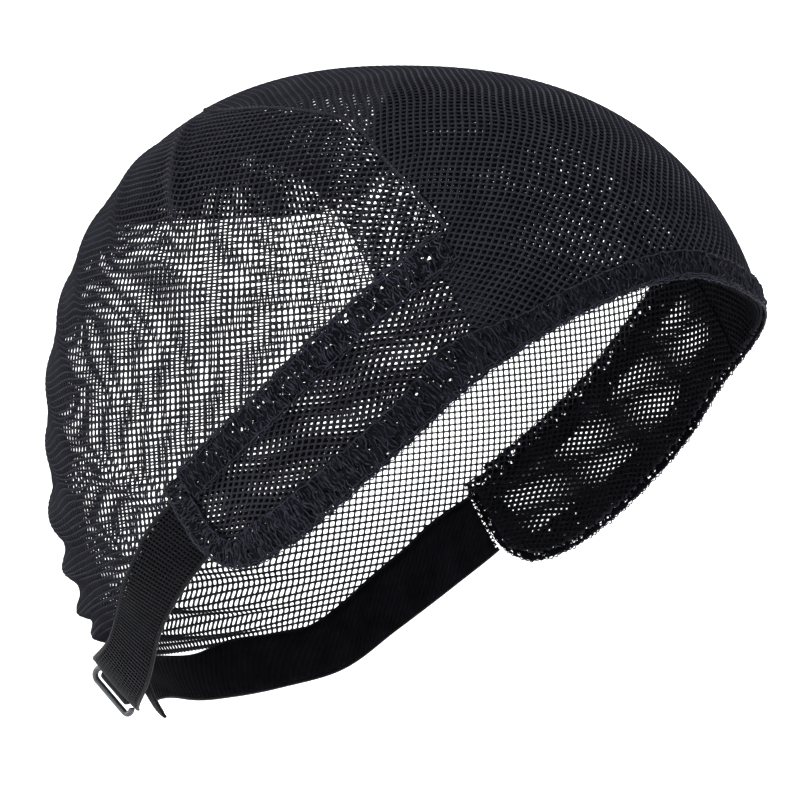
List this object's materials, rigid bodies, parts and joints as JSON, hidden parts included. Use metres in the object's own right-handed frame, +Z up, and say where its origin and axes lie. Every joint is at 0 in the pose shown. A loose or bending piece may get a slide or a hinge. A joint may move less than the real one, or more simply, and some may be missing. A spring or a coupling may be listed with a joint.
{
  "type": "wig cap",
  "caption": "Black stretch-mesh wig cap in its worn form, with a fine back net, a lined front, lace-edged ear tabs and a hooked nape band.",
  "frame": {"origin": "crown seat: the inner face of the crown panel at the top of the cap, on the middle plane", "axes": "+X towards the forehead, +Y towards the wearer's left, +Z up, out of the crown"},
  "size_m": [0.1882, 0.1594, 0.1645],
  "materials": {
    "front_mesh": "matt knitted mesh",
    "lining_mesh": "matt knitted mesh",
    "back_net": "matt stretch net",
    "facing_mesh": "matt stretch net",
    "tab_mesh": "matt coarse mesh",
    "lace": "ribbed elastic lace",
    "band_mesh": "matt knitted band",
    "loop_thread": "elastic tape",
    "hook_metal": "gloss black over bent wire"
  },
  "bodies": {
    "root": {"front_panel": "front_mesh", "front_lining": "lining_mesh", "back_net": "back_net", "crown_facing": "facing_mesh", "side_tab_right": "tab_mesh", "lace_band_right": "lace", "side_tab_left": "tab_mesh", "lace_band_left": "lace", "hem_lace": "lace", "nape_band_right": "band_mesh", "nape_band_left": "band_mesh", "nape_hook": "hook_metal", "hook_loop": "loop_thread"}
  },
  "joints": []
}
